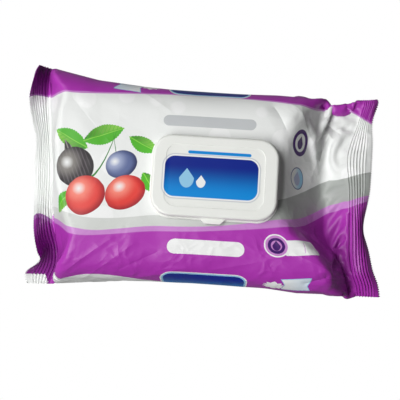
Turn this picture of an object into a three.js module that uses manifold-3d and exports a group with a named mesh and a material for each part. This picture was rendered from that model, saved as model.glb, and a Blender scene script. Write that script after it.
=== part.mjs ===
// A family pack of wet wipes: a sealed film wrapper round a soft stack of folded wipes, with a hinged
// flip-top dispensing lid glued over a die-cut opening in the film.
// Millimetres, +Z up, origin under the middle of the pack on the surface that it lies on.
// +X runs along the pack, +Y points to the hinge side of the lid.
import * as THREE from "three";
import { mergeVertices } from "three/addons/utils/BufferGeometryUtils.js";
import Module from "manifold-3d";

const wasm = await Module();
wasm.setup();

// Film wrapper
// Each seal's cut edge leans by skew and bows by bow where it reaches its half span.
const bodyWidth = 140;
const bodyHeight = 55;
const filmWall = 0.8;
const seals = {
  left: { root: -110.9, width: 13.4, height: 24, droop: 11, halfSpan: 81, skew: -4, bow: -2, ribs: 5 },
  right: { root: 104.1, width: 18, height: 22, droop: 2, halfSpan: 74, skew: -2.2, bow: 6, ribs: 6 },
};
const skewReach = 70;
const rib = { pitch: 2.2, height: 0.35 };
const leftSlope = { top: 19, bottom: 17, flare: 100 };
const rightSlope = { top: 46, bottom: 40, flare: 70 };
const dieCut = { length: 62, depth: 28 };

// Stack of wipes
const stackStart = -100.5;
const stackEnd = 86;
const stackEndRound = 10;
const stackGap = 0.6;
const sharpestStackSide = 4;
const crest = { length: 46, depth: 15, rise: 6, top: 55.8 };

// Lid, in its own frame: origin in the middle of the glued face
const lidPlace = { x: 8, y: 3 };
const glue = { thickness: 0.3, inset: 1 };
const flange = { length: 90, depth: 59.5, corner: 15, thickness: 1 };
const platform = { length: 84.2, depth: 52.8, shift: -0.2, corner: 12, top: 4.2, plate: 1.2, wall: 1.2 };
const mouth = { length: 58, depth: 24, rimWall: 1.5, rimInset: 1.5, rimTop: 5.4 };
const cover = { length: 88, depth: 57, corner: 14, wall: 1.3, bottom: 1.3, top: 7.2, plate: 1.2, round: 2 };
const panel = { length: 69, depth: 44, corner: 8, step: 0.3 };
const sealingRing = { length: 66, depth: 32, wall: 1, bottom: 5.2, overlap: 0.3 };
const thumbTab = { width: 18, proud: 3.8, bottom: 1.6, top: 3.8 };
const strap = { thickness: 0.5, foot: 29.35, top: 3.9 };
const straps = [
  { name: "hinge_strap_outer_left", x: -27.3, width: 4 },
  { name: "hinge_strap_inner_left", x: -19.1, width: 4 },
  { name: "hinge_strap_centre", x: 0, width: 11.6 },
  { name: "hinge_strap_inner_right", x: 18.1, width: 4 },
  { name: "hinge_strap_outer_right", x: 26.6, width: 4 },
];

const leftSealInner = seals.left.root;
const rightSealInner = seals.right.root;

// A cutting solid runs past the faces that it cuts by this much.
const cutMargin = 1;

const clamp01 = (value) => Math.min(1, Math.max(0, value));
const range = (count) => Array.from({ length: count }, (_, i) => i);

// Quarter-round rise: 0 at a seal and 1 where the film has reached its full height.
const quarterRise = (share) => Math.sqrt(1 - (1 - clamp01(share)) ** 2);

// Height of the seal's mid-plane at x: it droops towards its free edge.
function sealHeight(seal, outward) {
  const share = clamp01(outward / seal.width);
  return seal.height - seal.droop * share * share;
}

// The film's outer section at x: half width, side rounding, top and bottom.
function filmSection(x) {
  const onLeft = x < (leftSealInner + rightSealInner) / 2;
  const seal = onLeft ? seals.left : seals.right;
  const slope = onLeft ? leftSlope : rightSlope;
  const inward = onLeft ? x - leftSealInner : rightSealInner - x;
  const middle = sealHeight(seal, -inward);
  const rise = quarterRise(inward / slope.top);
  const top = middle + filmWall + (bodyHeight - middle - filmWall) * rise;
  const bottom = (middle - filmWall) * (1 - quarterRise(inward / slope.bottom));
  const flare = (1 - clamp01(inward / slope.flare)) ** 2;
  const halfWidth = bodyWidth / 2 + (seal.halfSpan - bodyWidth / 2) * flare;
  const round = Math.max((top - bottom) / 2, 1.5);
  return { halfWidth, round, top, bottom };
}

// How far the skewed, bowed seals carry a point along X: all of it at a seal, none in the body's middle.
function endShift(x, y) {
  const seal = x < 0 ? seals.left : seals.right;
  const share = clamp01(1 - (Math.abs(seal.root) - Math.abs(x)) / skewReach);
  const across = y / seal.halfSpan;
  return share * share * (seal.skew * across + seal.bow * across * across);
}

// A closed ring of section points: flat top and bottom joined by two half-ellipse sides.
const flatSteps = 6;
const sideSteps = 10;
const midTop = sideSteps + flatSteps / 2;
const midBottom = 2 * sideSteps + flatSteps + flatSteps / 2;
function ring(x, section) {
  const { halfWidth, round, top, bottom } = section;
  const middle = (top + bottom) / 2;
  const half = (top - bottom) / 2;
  const flat = halfWidth - round;
  const points = [];
  const addPoint = (y, z) => points.push([x + endShift(x, y), y, z]);
  for (const side of [1, -1]) {
    for (const k of range(sideSteps)) {
      const angle = (k / sideSteps - 0.5) * Math.PI;
      addPoint(side * (flat + round * Math.cos(angle)), middle + side * half * Math.sin(angle));
    }
    for (const k of range(flatSteps)) {
      addPoint(side * flat * (1 - (2 * k) / flatSteps), side > 0 ? top : bottom);
    }
  }
  return points;
}

// Skin over a row of rings, closed at both ends by a fan from between the ring's two middle points.
function loft(rings) {
  const count = rings[0].length;
  const positions = rings.flat(2);
  const index = [];
  for (const i of range(rings.length - 1)) {
    for (const j of range(count)) {
      const a = i * count + j;
      const b = i * count + ((j + 1) % count);
      index.push(a, b, a + count, b, b + count, a + count);
    }
  }
  for (const [start, flip] of [[0, false], [(rings.length - 1) * count, true]]) {
    const centre = positions.length / 3;
    const [upper, lower] = [midTop, midBottom].map((j) => (start + j) * 3);
    positions.push(...[0, 1, 2].map((axis) => (positions[upper + axis] + positions[lower + axis]) / 2));
    for (const j of range(count)) {
      const a = start + j;
      const b = start + ((j + 1) % count);
      index.push(...(flip ? [a, b, centre] : [b, a, centre]));
    }
  }
  const geometry = new THREE.BufferGeometry();
  geometry.setAttribute("position", new THREE.Float32BufferAttribute(positions, 3));
  geometry.setIndex(index);
  return geometry;
}

// Boolean helpers: a geometry becomes a solid, and a solid becomes a geometry again.
function solid(geometry) {
  const bare = geometry.clone();
  bare.deleteAttribute("normal");
  bare.deleteAttribute("uv");
  const merged = mergeVertices(bare, 1e-4);
  const triVerts = new Uint32Array(merged.index.array);
  const vertProperties = new Float32Array(merged.attributes.position.array);
  const made = new wasm.Manifold(new wasm.Mesh({ numProp: 3, vertProperties, triVerts }));
  if (made.volume() < 0) {
    throw new Error("a geometry is inside out");
  }
  return made;
}

function geometryOf(body) {
  const mesh = body.getMesh();
  const geometry = new THREE.BufferGeometry();
  geometry.setAttribute("position", new THREE.Float32BufferAttribute(mesh.vertProperties, 3));
  geometry.setIndex(new THREE.BufferAttribute(mesh.triVerts, 1));
  geometry.computeVertexNormals();
  return geometry;
}

// Outlines
function roundedRectangle(length, depth, corner, shiftY = 0) {
  const shape = new THREE.Shape();
  const x = length / 2;
  const y = depth / 2;
  shape.moveTo(x, shiftY - y + corner);
  shape.lineTo(x, shiftY + y - corner);
  shape.absarc(x - corner, shiftY + y - corner, corner, 0, Math.PI / 2);
  shape.absarc(-x + corner, shiftY + y - corner, corner, Math.PI / 2, Math.PI);
  shape.absarc(-x + corner, shiftY - y + corner, corner, Math.PI, 1.5 * Math.PI);
  shape.absarc(x - corner, shiftY - y + corner, corner, 1.5 * Math.PI, 2 * Math.PI);
  return shape;
}

// Straight-sided plate of an outline between two heights.
function plate(outline, bottom, top, curveSegments = 6) {
  const depth = top - bottom;
  const geometry = new THREE.ExtrudeGeometry(outline, { depth, bevelEnabled: false, curveSegments });
  return solid(geometry.translate(0, 0, bottom));
}

const oblong = (length, depth) => roundedRectangle(length, depth, depth / 2 - 0.01);

// Film wrapper, hollow, with the die-cut opening under the lid
function sealRows(seal, innerX, direction) {
  const rows = [];
  for (const k of range(2 * seal.ribs + 1)) {
    const outward = (k / 2 + 0.25) * rib.pitch;
    rows.push({ x: innerX + direction * outward, lift: k % 2 ? rib.height : -rib.height });
  }
  rows.push({ x: innerX + direction * seal.width, lift: 0 });
  return rows;
}

function bodyRows(steps) {
  const rows = [];
  for (const k of range(steps)) {
    const share = k / (steps - 1);
    const eased = 0.5 - 0.5 * Math.cos(Math.PI * share);
    const mixed = 0.55 * eased + 0.45 * share;
    rows.push({ x: leftSealInner + (rightSealInner - leftSealInner) * mixed, lift: 0 });
  }
  return rows;
}

const bodySteps = 27;
const leftRows = sealRows(seals.left, leftSealInner, -1).reverse();
const rightRows = sealRows(seals.right, rightSealInner, 1);
const outerRows = [...leftRows, ...bodyRows(bodySteps), ...rightRows];

function filmRing({ x, lift }) {
  const section = filmSection(x);
  return ring(x, { ...section, top: section.top + lift, bottom: section.bottom + lift });
}

// The hollow is the outer skin drawn in by the wall along X, Y and Z, so steep end faces keep their wall.
const thinnestHollow = 0.6;
const sharpestHollow = 0.7;
function hollowRing({ x }) {
  const { halfWidth, round, top, bottom } = filmSection(x + Math.sign(x) * filmWall);
  const middle = (top + bottom) / 2;
  const half = Math.max((top - bottom) / 2 - filmWall, thinnestHollow / 2);
  const section = {
    halfWidth: halfWidth - filmWall,
    round: Math.max(round - filmWall, sharpestHollow),
    top: middle + half,
    bottom: middle - half,
  };
  return ring(x, section);
}

function filmWrapper() {
  const skin = solid(loft(outerRows.map(filmRing)));
  const hollowRows = bodyRows(bodySteps).filter(
    ({ x }) => x > leftSealInner + 1.5 * filmWall && x < rightSealInner - 1.5 * filmWall,
  );
  const hollow = solid(loft(hollowRows.map(hollowRing)));
  const opening = plate(
    oblong(dieCut.length, dieCut.depth),
    bodyHeight - filmWall - cutMargin,
    bodyHeight + cutMargin,
  );
  return skin.subtract(hollow).subtract(opening.translate([lidPlace.x, lidPlace.y, 0]));
}

// Stack of folded wipes: the wrapper's section drawn in, with rounded ends
function stackRing(x) {
  const { halfWidth, round, top, bottom } = filmSection(x);
  const fromEnd = Math.min(x - stackStart, stackEnd - x);
  const drawnIn = stackEndRound * (1 - quarterRise(fromEnd / stackEndRound));
  const inset = filmWall + stackGap + drawnIn;
  const section = {
    halfWidth: Math.min(halfWidth, bodyWidth / 2) - inset,
    round: Math.max(round - inset, sharpestStackSide),
    top: top - inset,
    bottom: bottom + inset,
  };
  return ring(x, section);
}

// The stack swells into the die-cut opening as a low crest, where the next wipe is pinched up.
function wipeStack() {
  const endSteps = 4;
  const ends = range(endSteps).map((k) => stackEndRound * (1 - Math.cos((k / endSteps) * Math.PI / 2)));
  const middleSteps = 12;
  const from = stackStart + stackEndRound;
  const span = stackEnd - stackEndRound - from;
  const rows = [
    ...ends.map((e) => stackStart + e),
    ...range(middleSteps).map((k) => from + (span * k) / (middleSteps - 1)),
    ...ends.reverse().map((e) => stackEnd - e),
  ];
  const swelling = new THREE.SphereGeometry(1, 20, 10)
    .scale(crest.length / 2, crest.depth / 2, crest.rise)
    .translate(lidPlace.x, lidPlace.y, crest.top - crest.rise);
  return solid(loft(rows.map(stackRing))).add(solid(swelling));
}

// Lid
function lidAdhesive() {
  const { thickness, inset } = glue;
  const { length, depth, corner } = flange;
  const outline = roundedRectangle(length - 2 * inset, depth - 2 * inset, corner - inset);
  const hole = oblong(dieCut.length + 2 * inset, dieCut.depth + 2 * inset);
  return plate(outline, 0, thickness).subtract(plate(hole, -cutMargin, thickness + cutMargin));
}

function lidBase() {
  const { length, depth, shift, corner, top, plate: plateThickness, wall } = platform;
  const flangeOutline = roundedRectangle(flange.length, flange.depth, flange.corner);
  const flangePlate = plate(flangeOutline, 0, flange.thickness);
  const block = plate(roundedRectangle(length, depth, corner, shift), 0, top);
  const underside = plate(
    roundedRectangle(length - 2 * wall, depth - 2 * wall, corner - wall, shift),
    -cutMargin,
    top - plateThickness,
  );
  const innerLength = mouth.length + 2 * mouth.rimInset;
  const innerDepth = mouth.depth + 2 * mouth.rimInset;
  const rimOutline = oblong(innerLength + 2 * mouth.rimWall, innerDepth + 2 * mouth.rimWall);
  const rim = plate(rimOutline, top - plateThickness / 2, mouth.rimTop);
  const rimHollow = plate(oblong(innerLength, innerDepth), top, mouth.rimTop + cutMargin);
  const opening = plate(oblong(mouth.length, mouth.depth), -cutMargin, mouth.rimTop + cutMargin);
  return flangePlate.add(block).add(rim).subtract(rimHollow).subtract(underside).subtract(opening);
}

// Thumb tab outline: a low hump that runs into the cover's front wall through two hollow curves.
function tabOutline() {
  const shape = new THREE.Shape();
  const front = -cover.depth / 2;
  const half = thumbTab.width / 2;
  const tip = front - thumbTab.proud;
  const root = front + cover.wall / 2;
  shape.moveTo(-half, root);
  shape.lineTo(-half, front);
  shape.bezierCurveTo(-half * 0.72, front, -half * 0.72, tip, -half * 0.3, tip);
  shape.lineTo(half * 0.3, tip);
  shape.bezierCurveTo(half * 0.72, tip, half * 0.72, front, half, front);
  shape.lineTo(half, root);
  return shape;
}

function lidCover() {
  const { length, depth, corner, wall, bottom, top, plate: plateThickness, round } = cover;
  // The block is rounded above and below; only its upper part is kept.
  const softened = new THREE.ExtrudeGeometry(
    roundedRectangle(length - 2 * round, depth - 2 * round, corner - round),
    {
      depth: top,
      bevelThickness: round,
      bevelSize: round,
      bevelSegments: 3,
      curveSegments: 7,
    },
  ).translate(0, 0, -round);
  const upperPart = plate(
    roundedRectangle(length + 2 * cutMargin, depth + 2 * cutMargin, cutMargin),
    bottom,
    top + cutMargin,
  );
  const ceiling = top - plateThickness;
  const inside = plate(
    roundedRectangle(length - 2 * wall, depth - 2 * wall, corner - wall),
    bottom - cutMargin,
    ceiling,
  );
  const recess = plate(
    roundedRectangle(panel.length, panel.depth, panel.corner),
    top - panel.step,
    top + cutMargin,
  );
  const { wall: ringWall, bottom: ringBottom, overlap } = sealingRing;
  const ringOuter = plate(
    oblong(sealingRing.length + 2 * ringWall, sealingRing.depth + 2 * ringWall),
    ringBottom,
    ceiling + overlap,
  );
  const ringInner = plate(oblong(sealingRing.length, sealingRing.depth), ringBottom - cutMargin, ceiling);
  const tab = plate(tabOutline(), thumbTab.bottom, thumbTab.top, 10);
  return solid(softened)
    .intersect(upperPart)
    .subtract(inside)
    .add(ringOuter)
    .subtract(ringInner)
    .add(tab)
    .subtract(recess);
}

// Living-hinge strap: up from the flange, over a quarter turn, and in to the cover's rear wall.
function hingeStrap(width) {
  const rear = cover.depth / 2;
  const outer = strap.foot - rear;
  const inner = outer - strap.thickness;
  const shape = new THREE.Shape();
  shape.moveTo(-strap.foot, flange.thickness);
  shape.lineTo(-strap.foot, strap.top - outer);
  shape.absarc(-rear, strap.top - outer, outer, Math.PI, Math.PI / 2, true);
  shape.lineTo(-rear, strap.top - strap.thickness);
  shape.absarc(-rear, strap.top - outer, inner, Math.PI / 2, Math.PI, false);
  shape.lineTo(-rear - inner, flange.thickness);
  const bent = new THREE.ExtrudeGeometry(shape, { depth: width, bevelEnabled: false, curveSegments: 5 });
  // The outline is drawn in (-Y, Z), so it is stood up and turned to run along X.
  const toPlace = new THREE.Matrix4().makeBasis(
    new THREE.Vector3(0, -1, 0),
    new THREE.Vector3(0, 0, 1),
    new THREE.Vector3(-1, 0, 0),
  );
  return solid(bent.translate(0, 0, -width / 2).applyMatrix4(toPlace));
}

// Finishes
const printedFilm = new THREE.MeshStandardMaterial({ color: 0xa63ab0, roughness: 0.35, metalness: 0 });
const moistNonwoven = new THREE.MeshStandardMaterial({ color: 0xf3f4f2, roughness: 0.9, metalness: 0 });
const clearGlue = new THREE.MeshStandardMaterial({ color: 0xe6e3d8, roughness: 0.4, metalness: 0 });
const whiteMoulding = new THREE.MeshStandardMaterial({ color: 0xeceee9, roughness: 0.45, metalness: 0 });

function piece(name, body, material) {
  const mesh = new THREE.Mesh(geometryOf(body), material);
  mesh.name = name;
  return mesh;
}

const pack = new THREE.Group();
pack.add(piece("film_wrapper", filmWrapper(), printedFilm));
pack.add(piece("wipe_stack", wipeStack(), moistNonwoven));

const lid = new THREE.Group();
lid.position.set(lidPlace.x, lidPlace.y, bodyHeight);
lid.add(piece("lid_adhesive", lidAdhesive(), clearGlue));

const moulding = new THREE.Group();
moulding.position.z = glue.thickness;
moulding.add(piece("lid_base", lidBase(), whiteMoulding));
moulding.add(piece("lid_cover", lidCover(), whiteMoulding));
for (const { name, x, width } of straps) {
  const mesh = piece(name, hingeStrap(width), whiteMoulding);
  mesh.position.x = x;
  moulding.add(mesh);
}
lid.add(moulding);
pack.add(lid);

export default pack;
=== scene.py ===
import json
import math

import bpy
import numpy as np
from mathutils import Matrix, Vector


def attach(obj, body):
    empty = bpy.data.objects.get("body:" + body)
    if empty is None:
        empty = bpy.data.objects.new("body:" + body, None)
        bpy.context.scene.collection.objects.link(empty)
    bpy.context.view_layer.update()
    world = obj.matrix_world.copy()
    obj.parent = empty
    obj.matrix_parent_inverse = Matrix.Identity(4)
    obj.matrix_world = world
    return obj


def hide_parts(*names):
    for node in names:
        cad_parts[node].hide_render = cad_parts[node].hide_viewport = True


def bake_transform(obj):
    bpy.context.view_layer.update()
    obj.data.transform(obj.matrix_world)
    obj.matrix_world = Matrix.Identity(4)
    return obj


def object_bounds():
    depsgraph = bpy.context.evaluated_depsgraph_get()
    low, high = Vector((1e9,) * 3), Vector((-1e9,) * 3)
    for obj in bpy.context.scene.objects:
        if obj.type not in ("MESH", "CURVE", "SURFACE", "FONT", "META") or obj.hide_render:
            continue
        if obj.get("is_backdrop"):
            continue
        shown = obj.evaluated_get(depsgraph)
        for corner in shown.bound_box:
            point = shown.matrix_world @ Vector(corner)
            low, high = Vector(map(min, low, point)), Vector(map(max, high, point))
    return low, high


# A pack of wet wipes: crumpled printed film round a stack of wipes, with a hinged lid glued on top.
# Lengths are in millimetres until a mesh is made.
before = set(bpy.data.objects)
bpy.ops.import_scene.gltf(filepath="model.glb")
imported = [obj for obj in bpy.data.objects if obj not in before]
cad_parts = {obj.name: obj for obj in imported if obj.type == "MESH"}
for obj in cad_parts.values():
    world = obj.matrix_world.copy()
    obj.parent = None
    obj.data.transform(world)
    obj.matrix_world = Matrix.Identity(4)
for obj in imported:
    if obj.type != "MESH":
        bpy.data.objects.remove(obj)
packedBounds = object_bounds()
print("frame loaded")

lidX, lidY = 8.0, 3.0  # the lid's middle
mouldingZ = 55.3  # the underside of the lid's base


def smooth(t):
    # Eases from 0 to 1 with no slope at either end.
    t = np.clip(t, 0, 1)
    return t * t * (3 - 2 * t)


# Shader writing
class Wire:
    # One output socket; the operators on it, added below, make Math nodes.
    def __init__(self, tree, socket):
        self.tree = tree
        self.socket = socket

    def node(self, kind, settings, inputs, output=0):
        # Any other node: its type, its settings, then its inputs by name or place.
        made = self.tree.nodes.new(kind)
        for key, value in settings.items():
            setattr(made, key, value)
        for key, value in inputs.items():
            if isinstance(value, Wire):
                self.tree.links.new(value.socket, made.inputs[key])
            else:
                made.inputs[key].default_value = value
        return Wire(self.tree, made.outputs[output])

    def math(self, operation, *values):
        return self.node("ShaderNodeMath", {"operation": operation}, dict(enumerate(values)))

    def __neg__(self):
        return self * -1.0

    def __abs__(self):
        return self.math("ABSOLUTE", self)

    def least(self, other):
        return self.math("MINIMUM", self, other)

    def most(self, other):
        return self.math("MAXIMUM", self, other)

    def sine(self):
        return self.math("SINE", self)

    def root(self):
        return self.math("SQRT", self)

    def inside(self, soft=0.25):
        # 1 where a signed distance is below zero, with a soft edge.
        return self.node("ShaderNodeClamp", {}, {0: 0.5 - self / soft})

    def ramp(self, low, high):
        # Eases from 0 at low to 1 at high.
        ends = {0: self, 1: low, 2: high}
        return self.node("ShaderNodeMapRange", {"interpolation_type": "SMOOTHSTEP"}, ends)

    def mix(self, first, second):
        # First colour where this is 0, second where it is 1.
        return self.node("ShaderNodeMix", {"data_type": "RGBA"}, {0: self, 6: first, 7: second}, 2)

    def over(self, paint, top, soft=0.25):
        # The paint with the top colour laid over it wherever this signed distance is below zero.
        return self.inside(soft).mix(paint, top)

    def bump(self):
        # A surface normal from this height in millimetres.
        return self.node("ShaderNodeBump", {}, {"Height": self, "Distance": 0.001, "Strength": 1.0})

    def scaled(self, factor):
        # This vector times a number.
        return self.node("ShaderNodeVectorMath", {"operation": "SCALE"}, {0: self, "Scale": factor})

    def noise(self, scale, detail=2.0, roughness=0.5, output=0):
        # Noise at this place: its height, or its colour as output 1.
        inputs = {"Vector": self, "Scale": scale, "Detail": detail, "Roughness": roughness}
        return self.node("ShaderNodeTexNoise", {}, inputs, output)

    def cells(self, scale, randomness=1.0):
        # Distance from this place to the nearest of scattered points.
        inputs = {"Vector": self, "Scale": scale, "Randomness": randomness}
        return self.node("ShaderNodeTexVoronoi", {"feature": "F1"}, inputs)


operators = {"add": "ADD", "sub": "SUBTRACT", "mul": "MULTIPLY", "truediv": "DIVIDE", "pow": "POWER",
             "mod": "FLOORED_MODULO"}
for sign, operation in operators.items():
    # a + b where a is a wire, and the reflected form, where only b is one.
    setattr(Wire, f"__{sign}__", lambda a, b, kind=operation: a.math(kind, a, b))
    setattr(Wire, f"__r{sign}__", lambda b, a, kind=operation: b.math(kind, a, b))


def colour(red, green, blue):
    # A colour as it looks in a photo, 0 to 255, as the linear light that shaders want.
    share = np.array([red, green, blue]) / 255
    linear = np.where(share <= 0.04045, share / 12.92, ((share + 0.055) / 1.055) ** 2.4)
    return tuple(float(c) for c in linear) + (1.0,)


def newMaterial(name):
    # A material, a wire to write its nodes with, and its surface shader.
    material = bpy.data.materials.new(name)
    material.use_nodes = True
    tree = material.node_tree
    return material, Wire(tree, None), tree.nodes["Principled BSDF"]


def feed(surface, **inputs):
    # Wires or constants into the surface shader; underscores stand for spaces.
    for key, value in inputs.items():
        socket = surface.inputs[key.replace("_", " ")]
        if isinstance(value, Wire):
            value.tree.links.new(value.socket, socket)
        else:
            socket.default_value = value


def inMillimetres(at):
    # A place as one vector and as its three parts, in millimetres.
    at = at.scaled(1000.0)
    outputs = at.node("ShaderNodeSeparateXYZ", {}, {0: at}).socket.node.outputs
    return at, [Wire(at.tree, outputs[k]) for k in range(3)]


def flatPlace(wire):
    # Place on the flat film, from the mesh's own map.
    return inMillimetres(wire.node("ShaderNodeUVMap", {"uv_map": "flat"}, {}))


def objectPlace(wire):
    # Place on the object.
    return inMillimetres(wire.node("ShaderNodeTexCoord", {}, {}, 3))


def radius(x, y, centre):
    # Distance to a point.
    dx, dy = x - centre[0], y - centre[1]
    return (dx * dx + dy * dy).root()


def box(x, y, centre, half, corner):
    # Signed distance to a rounded rectangle.
    dx = abs(x - centre[0]) - (half[0] - corner)
    dy = abs(y - centre[1]) - (half[1] - corner)
    outX, outY = dx.most(0.0), dy.most(0.0)
    return (outX * outX + outY * outY).root() + dx.most(dy).least(0.0) - corner


def drop(x, y, centre, r):
    # Signed distance to a water drop: a disc whose top narrows to a point.
    dx, dy = x - centre[0], y - centre[1]
    rise = (dy / (r * 1.7)).most(0.0)
    narrow = (1.02 - rise).most(0.02)
    return (dx * dx / (narrow * narrow) + dy * dy * 0.55).root() - r


def segment(x, y, start, end):
    # Distance to the straight line between two places.
    run = end[0] - start[0], end[1] - start[1]
    dx, dy = x - start[0], y - start[1]
    share = (dx * run[0] + dy * run[1]) / (run[0] ** 2 + run[1] ** 2)
    share = share.most(0.0).least(1.0)
    dx, dy = dx - share * run[0], dy - share * run[1]
    return (dx * dx + dy * dy).root()


def turned(x, y, centre, degrees):
    # Coordinates about a centre, turned.
    c, s = math.cos(math.radians(degrees)), math.sin(math.radians(degrees))
    dx, dy = x - centre[0], y - centre[1]
    return dx * c + dy * s, dy * c - dx * s


# Mesh making
def makeObject(name, points, faces, material, flat=None, sharp=32):
    # points (n, 3) in millimetres; faces a list of (m, 3) and (m, 4) index arrays; flat their places on
    # a map; edges that bend by more than sharp degrees aren't smoothed.
    mesh = bpy.data.meshes.new(name)
    loops = np.concatenate([f.ravel() for f in faces])
    sizes = np.concatenate([np.full(len(f), f.shape[1]) for f in faces])
    mesh.vertices.add(len(points))
    mesh.loops.add(len(loops))
    mesh.polygons.add(len(sizes))
    mesh.vertices.foreach_set("co", (points * 0.001).astype(np.float32).ravel())
    mesh.loops.foreach_set("vertex_index", loops.astype(np.int32))
    mesh.polygons.foreach_set("loop_start", np.r_[0, np.cumsum(sizes)[:-1]].astype(np.int32))
    mesh.polygons.foreach_set("use_smooth", np.ones(len(sizes), bool))
    if flat is not None:
        layer = mesh.uv_layers.new(name="flat")
        places = np.concatenate([f.ravel() for f in flat])
        layer.data.foreach_set("uv", places.astype(np.float32) * 0.001)
    mesh.update(calc_edges=True)
    mesh.validate()
    mesh.set_sharp_from_angle(angle=math.radians(sharp))
    mesh.materials.append(material)
    made = bpy.data.objects.new(name, mesh)
    bpy.context.scene.collection.objects.link(made)
    return made


def gridFaces(rows, columns, closedRows=False):
    # Quads between neighbouring rings of a grid whose rings close on themselves.
    index = np.arange(rows * columns).reshape(rows, columns)
    lower = index if closedRows else index[:-1]
    upper = np.roll(index, -1, 0) if closedRows else index[1:]
    quads = [lower, upper, np.roll(upper, -1, 1), np.roll(lower, -1, 1)]
    return np.stack(quads, -1).reshape(-1, 4)


def lathe(rings):
    # Points and faces of rings that run from a top middle, out, down and back in to an under middle.
    rings = np.array(rings)
    rows, columns = rings.shape[:2]
    points = np.concatenate([rings.reshape(-1, 3), [rings[0].mean(0), rings[-1].mean(0)]])
    ring = np.arange(columns)
    last = ring + (rows - 1) * columns
    top = np.stack([np.full(columns, rows * columns), ring, np.roll(ring, -1)], -1)
    under = np.stack([np.full(columns, rows * columns + 1), np.roll(last, -1), last], -1)
    return points, [gridFaces(rows, columns), top, under]


def hoop(rings):
    # Points and faces of rings whose last one joins the first, as round a tube.
    rings = np.array(rings)
    return rings.reshape(-1, 3), [gridFaces(*rings.shape[:2], True)]


def joined(shells):
    # Several (points, faces) shells as one.
    points, faces, start = [], [], 0
    for shellPoints, shellFaces in shells:
        points.append(shellPoints)
        faces += [f + start for f in shellFaces]
        start += len(shellPoints)
    return np.concatenate(points), faces


def outline(length, depth, corner, count=224, shift=0.0):
    # Rounded rectangle, evenly stepped along its length, from the middle of its +X side.
    x, y = length / 2 - corner, depth / 2 - corner
    turn = np.linspace(0, np.pi / 2, 33)
    arc = np.stack([np.cos(turn), np.sin(turn)], -1) * corner
    half = np.concatenate([[[length / 2, 0]], arc + [x, y], arc[:, ::-1] * [-1, 1] + [-x, y]])
    whole = np.concatenate([half, [[-length / 2, 0]], half[1:][::-1] * [1, -1], [[length / 2, 0]]])
    run = np.r_[0, np.cumsum(np.linalg.norm(np.diff(whole, axis=0), axis=1))]
    at = np.arange(count) / count * run[-1]
    return np.stack([np.interp(at, run, whole[:, k]) for k in range(2)], -1) + [0, shift]


# Film wrapper
# The film is one tube of flat length and girth. Its two ends are pinned along the curves of the crimped
# seals, the lid holds it flat, and it is pushed out by the block of wipes that it holds.
film = {
    # The flat tube, and where the lid's middle lies on it.
    "length": 266.0, "girth": 346.0, "lidAt": (147.5, 3.0),
    # The patch that the lid holds: half sizes of its straight part, its corner and its height.
    "patch": (30.0, 14.75), "patchCorner": 14.0, "patchHeight": 55.0,
    # The opening under the lid, the film's thickness, and each layer's distance from a seal's middle.
    "hole": (62.0, 28.0), "thickness": 0.1, "layerGap": 0.15,
    # A crimped strip: its width, ribs, and how they fade in and out, and the teeth of its cut edge.
    "stripWidth": 18.0, "stripRows": 42, "ribs": 6, "ribPitch": 2.25, "ribHeight": 0.55, "ribFade": 1.0,
    "ribTail": 1.2, "tooth": 1.4,
    # How far out and how far up a strip goes before it bends to its edge, as shares, left and right.
    "lead": ((0.5, 0.6), (0.5, 0.0)),
}
cloth = {
    # Rows and columns of the three grids; the first two settle for so many steps.
    "grids": ((50, 68), (99, 136), (132, 184)), "steps": (500, 500), "quickSteps": (100, 60),
    # In one step: the speed kept, the air's push, what the right end loses of it and over what stretch,
    # the weight, and the shares of bends and slants that are put right.
    "kept": 0.96, "press": 0.005, "sag": 0.012, "sagFrom": 30.0, "sagRun": 40.0, "weight": 0.004,
    "bending": 0.12, "shear": 0.45,
    # Least gaps: between layers, over the floor, to a seal's root, and to the sheet that parts the layers.
    "apart": 1.2, "floor": 0.3, "rootGap": 0.2, "sheetGap": 0.3,
    # How far across the film, as shares, the sheet and the least gap between layers reach.
    "sheetReach": 0.94, "apartReach": 0.985,
    # The film's greatest height over the block, how far the block stays below the film's limit there, and
    # how much rather a point goes up than sideways.
    "lift": 0.6, "under": 0.4, "upward": 0.7,
    # Softening next to the left seal: from how far along it fades, over what stretch, and how soon at the
    # folds; its strength and how often it is done.
    "softFrom": 24.0, "softRun": 14.0, "softFold": 0.12, "soft": 0.5, "softTimes": 8,
}
# The first guess: half width and roundness of the body, half its depth, and at each end the flat length
# that rises from the seal and how far along it gets.
firstGuess = {"straight": 42.5, "round": 27.5, "deep": 27.3, "left": (34, 20), "right": (52, 38)}
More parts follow.
